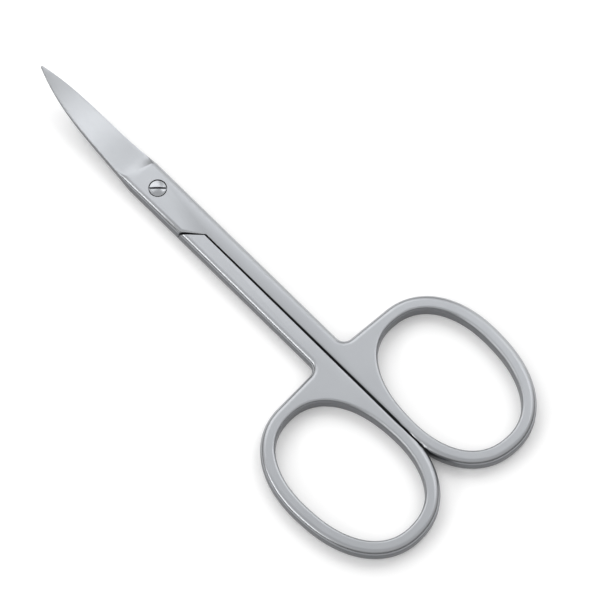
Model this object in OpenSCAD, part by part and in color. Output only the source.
// Curved cuticle scissors: two forged halves that cross in a half lap, and a slotted pivot screw.
// Frame: origin on the pivot axis in the plane the scissors lie on, +Y towards the tips, +Z up.
// The upper half holds the upper blade and the right-hand finger ring, the lower half the others.
// All sizes are in millimetres.

/* [Body] */
// Thickness of the shanks, rings and crossed laps
thickness = 2.8; // [2.4:0.1:3.4]
// Width across the two closed shanks
neck_w = 5.5; // [5:0.1:6.5]
// Radius on the outer edges of the laps, shanks and rings
edge_round = 0.45; // [0.2:0.05:0.5]
// Gap between the two closed shanks
split_gap = 0.3; // [0.15:0.05:0.4]

/* [Lap joint] */
// Gap between the flat faces of the two laps
lap_gap = 0.06; // [0.04:0.01:0.1]
// From the pivot forward to where the blades begin
lap_front = 3.3; // [3:0.1:4.5]
// From the pivot back to the outer corner of a shoulder
shoulder_back = 7.3; // [6.5:0.1:9]
// How much further back a shoulder is at the split
shoulder_slant = 3; // [2.5:0.1:4]
// Gap between a lap's rear edge and the other half's shoulder
shoulder_gap = 0.25; // [0.15:0.05:0.35]

/* [Blades] */
// From the pivot forward to the tips
blade_reach = 24.8; // [20:0.1:28]
// How far the tips curve upwards
blade_rise = 5; // [2:0.1:6]
// How full the blade's outline is between lap and tip
blade_belly = 1.9; // [1.2:0.1:2.4]
// Gap between the inner faces of the closed blades
blade_gap = 0.1; // [0.08:0.01:0.14]
// Thickness of a blade's back near the tip
tip_thick = 0.35; // [0.25:0.05:0.6]
// Thickness left at the cutting edge
edge_thick = 0.12; // [0.08:0.01:0.2]
// Thickness of the cutting edge's side where the blade leaves the lap
heel_thick = 0.8; // [0.3:0.05:1]
// Share of the blade over which the heel thins out to the cutting edge
heel_share = 0.6; // [0.3:0.05:0.9]
// Width of the blunt point
tip_w = 0.3; // [0.2:0.05:0.6]
// Length over which the ground face runs out into the lap
plunge = 2.2; // [1.5:0.1:4]

/* [Finger rings] */
// From the pivot back to the middle of the rings
ring_back = 50.8; // [46:0.1:56]
// Width of a finger hole
hole_w = 16.4; // [15:0.1:18]
// Length of a finger hole
hole_l = 23.8; // [20:0.1:27]
// How square the finger hole is: 2 is an ellipse
hole_power = 2.25; // [2:0.05:2.6]
// Width of the band around a finger hole
band_w = 2.2; // [2:0.05:2.6]
// Width of the wall between a finger hole and the split
inner_wall = 1.65; // [1.4:0.05:2]
// How far the front of a finger hole leans outwards, in degrees
ring_lean = 3; // [0:0.5:6]
// Radius of the crotch between shank and ring
crotch_r = 1.5; // [1:0.1:2.2]

/* [Pivot screw] */
// Diameter of the screw's head
head_d = 2.54; // [2.3:0.02:2.8]
// Diameter of the screw's shank
shank_d = 1.6; // [1.4:0.05:1.8]
// Running clearance around the shank, per side
bore_clearance = 0.05; // [0.03:0.01:0.08]
// Clearance around the head, per side
head_clearance = 0.12; // [0.08:0.01:0.2]
// How deep the head's rim sits below the top face
head_sink = 0.08; // [0.04:0.01:0.15]
// Height of the dome above the rim
head_dome = 0.22; // [0.1:0.01:0.3]
// Turn of the screwdriver slot from the scissors' width, in degrees
slot_turn = -44; // [-90:1:90]
// Width of the screwdriver slot
slot_w = 0.34; // [0.25:0.01:0.45]
// Depth of the screwdriver slot below the rim
slot_depth = 0.3; // [0.2:0.01:0.4]

/* [Hidden] */

$fn = 64;
ring_steps = 72;
blade_steps = 22;
mid = thickness / 2;
neck = neck_w / 2;
// How far bodies that are joined into one piece reach into each other
overlap = 0.02;
// How far cutting bodies reach past the faces they cut, and the blade into the lap
reach = 1;

hole_a = hole_w / 2;
hole_b = hole_l / 2;
ring_x = split_gap / 2 + inner_wall + hole_a;
shank_r = shank_d / 2;
head_r = head_d / 2;
// The screw cuts its thread this far into the lower half's hole
thread_bite = 0.02;
// Wall of the upper lap that the head bears on
head_floor = 0.62;
head_lift = 0.03;

// A rounded edge as [drop, inset] steps, from the vertical wall to the flat face
round_step = 1 - sqrt(0.5);
ROUND = [[1, 0], [round_step, round_step], [0, 1]] * edge_round;
// The same steps on both edges, as [height, inset] from the underside to the top
LEVELS = concat(
    [for (i = [2:-1:0]) [ROUND[i].x - mid, ROUND[i].y]],
    [for (s = ROUND) [mid - s.x, s.y]]
);

function turned(p, a) = [p.x * cos(a) - p.y * sin(a), p.x * sin(a) + p.y * cos(a)];
function signed_pow(v, p) = sign(v) * pow(abs(v), p);
function mix(a, b, k) = a + (b - a) * k;
function smooth(k) = let (c = min(max(k, 0), 1)) c * c * (3 - 2 * c);

// A point on the finger hole's outline, moved outwards by `out`
function ring_point(t, out) =
    let (
        p = [hole_a * signed_pow(cos(t), 2 / hole_power), hole_b * signed_pow(sin(t), 2 / hole_power)],
        slope = [
            signed_pow(cos(t), 2 - 2 / hole_power) / hole_a,
            signed_pow(sin(t), 2 - 2 / hole_power) / hole_b
        ]
    )
    [ring_x, -ring_back] + turned(p + out * slope / norm(slope), -ring_lean);

// Where the rung from the finger hole to the shank starts, in degrees around the hole
HOLE_START = 130;

function hole_outline(inset) =
    [for (i = [0:ring_steps - 1]) ring_point(HOLE_START + 360 * i / ring_steps, inset)];

// The crotch is round, and the web beside it runs along the tangent at the ring's front
web_start = ring_point(90, band_w);
crotch = [
    neck + crotch_r,
    web_start.y + (web_start.x - neck - crotch_r) * tan(ring_lean) + crotch_r / cos(ring_lean)
];
crotch_turn = 90 - ring_lean;

// The half's outer edge opposite each point of the finger hole: down the split, round the
// ring, along the web and up the crotch, with the outer edges moved in by `inset`
function handle_point(t, inset) =
    let (web_end = crotch + (crotch_r + inset) * [cos(180 + crotch_turn), sin(180 + crotch_turn)])
    t <= 180 ?
        [split_gap / 2, mix(crotch.y, ring_point(180, band_w).y, (t - HOLE_START) / (180 - HOLE_START))]
    : t <= 450 ?
        let (p = ring_point(t, band_w - inset)) [max(p.x, split_gap / 2), p.y]
    : t <= 460 ?
        mix(ring_point(90, band_w - inset), web_end, (t - 450) / 15)
    :
        let (a = 180 + crotch_turn * (490 - t) / 25)
        crotch + (crotch_r + inset) * [cos(a), sin(a)];

// Outline of a half without its blade, counterclockwise from the front left corner
function outline(inset) =
    let (
        lap_end = -shoulder_back + shoulder_gap / 2,
        left = [
            [inset - neck, lap_front],
            [inset - neck, lap_end],
            [split_gap / 2, lap_end - shoulder_slant]
        ]
    )
    concat(
        left,
        [for (i = [0:ring_steps]) handle_point(HOLE_START + 360 * i / ring_steps, inset)],
        [for (i = [2:-1:0]) [neck - inset, left[i].y]]
    );

// Triangles that wall a solid between rings of n points, each ring `stride` after the last
function walls(n, stride, count, first = 0) = [
    for (k = [0:count - 2]) for (i = [0:n - 1])
        let (a = k * stride + first, b = a + stride, j = (i + 1) % n)
        each [[a + j, a + i, b + i], [a + j, b + i, b + j]]
];

function reversed(face) = [for (j = [2:-1:0]) face[j]];

// Both halves start as this full-thickness forging, centred on the lap's middle plane.
// Its flat faces are cut into rungs: across the shank, then from the hole to the outer edge.
module forging() {
    outer = ring_steps + 7;
    all = outer + ring_steps;
    flat = concat(
        [
            for (i = [0:2])
                each [[i, i + 1, outer - 1 - i], [i + 1, outer - 2 - i, outer - 1 - i]]
        ],
        [[outer, outer - 4, 3]],
        [
            for (i = [0:ring_steps - 1])
                let (o = i + 3, h = outer + i, next = outer + (i + 1) % ring_steps)
                each [[o, o + 1, next], [o, next, h]]
        ]
    );
    polyhedron(
        points = [
            for (s = LEVELS) for (p = concat(outline(s.y), hole_outline(s.y))) [p.x, p.y, s.x]
        ],
        faces = concat(
            flat,
            [for (f = flat) reversed(f) + [1, 1, 1] * all * (len(LEVELS) - 1)],
            walls(outer, all, len(LEVELS)),
            [for (f = walls(ring_steps, all, len(LEVELS), outer)) reversed(f)]
        ),
        convexity = 8
    );
}

// Room for the other half's lap, below the middle plane and ahead of the shoulder
module lap_recess() {
    side = neck + reach;
    slope = shoulder_slant / (neck + split_gap / 2);
    back = -shoulder_back - shoulder_gap / 2;
    translate([0, 0, lap_gap / 2 - thickness])
        linear_extrude(thickness)
            polygon([
                [side, lap_front + reach],
                [side, back + reach * slope],
                [-side, back - (side + neck) * slope],
                [-side, lap_front + reach]
            ]);
}

// Height of the blades' parting face above the middle plane
function bend(y) = blade_rise * pow(max(y - lap_front, 0) / (blade_reach - lap_front), 2);

// Half the width of a blade at `y`
function blade_half(y) =
    let (u = max(y - lap_front, 0) / (blade_reach - lap_front))
    mix(tip_w / 2, neck - overlap, (1 - u) * (1 + blade_belly * u * u));

// Section of the lap where the blade starts, as [across, height] from the inner face
function lap_section(w) =
    let (h = mid - blade_gap / 2 - overlap, r = edge_round)
    [
        [w, 0], [w, h - r], [w - round_step * r, h - round_step * r], [w - r, h],
        [-w + r, h], [-w + round_step * r, h - round_step * r], [-w, h - r], [-w, 0]
    ];

// Section of the ground blade: cutting edge on the right, back on the left
function ground_section(w, h, edge) =
    let (r = min(edge_round, h / 2, w / 2), drop = (h - edge) / (2 * w - r))
    [
        [w, 0], [w, edge], [0.7 * w, edge + 0.3 * w * drop], [0, edge + w * drop],
        [-w + r, h], [-w + round_step * r, h - round_step * r], [-w, h - r], [-w, 0]
    ];

function blade_section(y) =
    let (
        u = max(y - lap_front, 0) / (blade_reach - lap_front),
        w = blade_half(y),
        lap = lap_section(w),
        edge = mix(edge_thick, heel_thick, pow(1 - min(u / heel_share, 1), 2)),
        ground = ground_section(w, mix(mid - blade_gap / 2 - overlap, tip_thick, u), edge),
        k = smooth((y - lap_front) / plunge)
    )
    [for (i = [7:-1:0]) mix(lap[i], ground[i], k)];

// Stations along the blade, closer together where the ground face runs out
function blade_stations() = concat(
    [lap_front - reach],
    [for (i = [0:4]) lap_front + plunge * i / 5],
    [for (i = [0:blade_steps]) mix(lap_front + plunge, blade_reach, i / blade_steps)]
);

// side is 1 for the upper blade and -1 for the lower one, which is turned half round
module blade(side) {
    stations = blade_stations();
    last = 8 * (len(stations) - 1);
    end = [for (i = [0:2]) each [[i, i + 1, 7 - i], [i + 1, 6 - i, 7 - i]]];
    polyhedron(
        points = [
            for (y = stations) for (p = blade_section(y))
                [side * p.x, y, bend(y) + side * (blade_gap / 2 + p.y)]
        ],
        faces = concat(
            end,
            [for (f = end) reversed(f) + [1, 1, 1] * last],
            walls(8, 8, len(stations))
        ),
        convexity = 4
    );
}

// Bore and counterbored seat for the screw, in the upper lap
module screw_seat() {
    cylinder(h = mid + reach, r = shank_r + bore_clearance);
    translate([0, 0, lap_gap / 2 + head_floor])
        cylinder(h = mid + reach, r = head_r + head_clearance);
}

// Tapped hole through the lower lap
module tapped_hole() {
    translate([0, 0, -mid - reach])
        cylinder(h = thickness + 2 * reach, r = shank_r - thread_bite);
}

module forged_body() {
    difference() {
        forging();
        lap_recess();
    }
}

module upper_half() {
    color("silver")
        translate([0, 0, mid])
            difference() {
                union() {
                    forged_body();
                    blade(1);
                }
                screw_seat();
            }
}

module lower_half() {
    color("lightgray")
        translate([0, 0, mid])
            difference() {
                union() {
                    rotate([0, 180, 0]) forged_body();
                    blade(-1);
                }
                tapped_hole();
            }
}

module pivot_screw() {
    seat = mid + lap_gap / 2 + head_floor + head_lift;
    rim = thickness - head_sink;
    dome_r = (head_r * head_r + head_dome * head_dome) / (2 * head_dome);
    half_angle = asin(head_r / dome_r);
    color("gainsboro")
        difference() {
            rotate_extrude()
                polygon(concat(
                    [[0, 0], [shank_r, 0], [shank_r, seat], [head_r, seat]],
                    [
                        for (i = [0:6])
                            let (a = half_angle * (1 - i / 6))
                            [dome_r * sin(a), rim + head_dome - dome_r * (1 - cos(a))]
                    ]
                ));
            rotate([0, 0, slot_turn])
                translate([-head_d, -slot_w / 2, rim - slot_depth])
                    cube([2 * head_d, slot_w, slot_depth + 2 * head_dome]);
        }
}

upper_half();
lower_half();
pivot_screw();
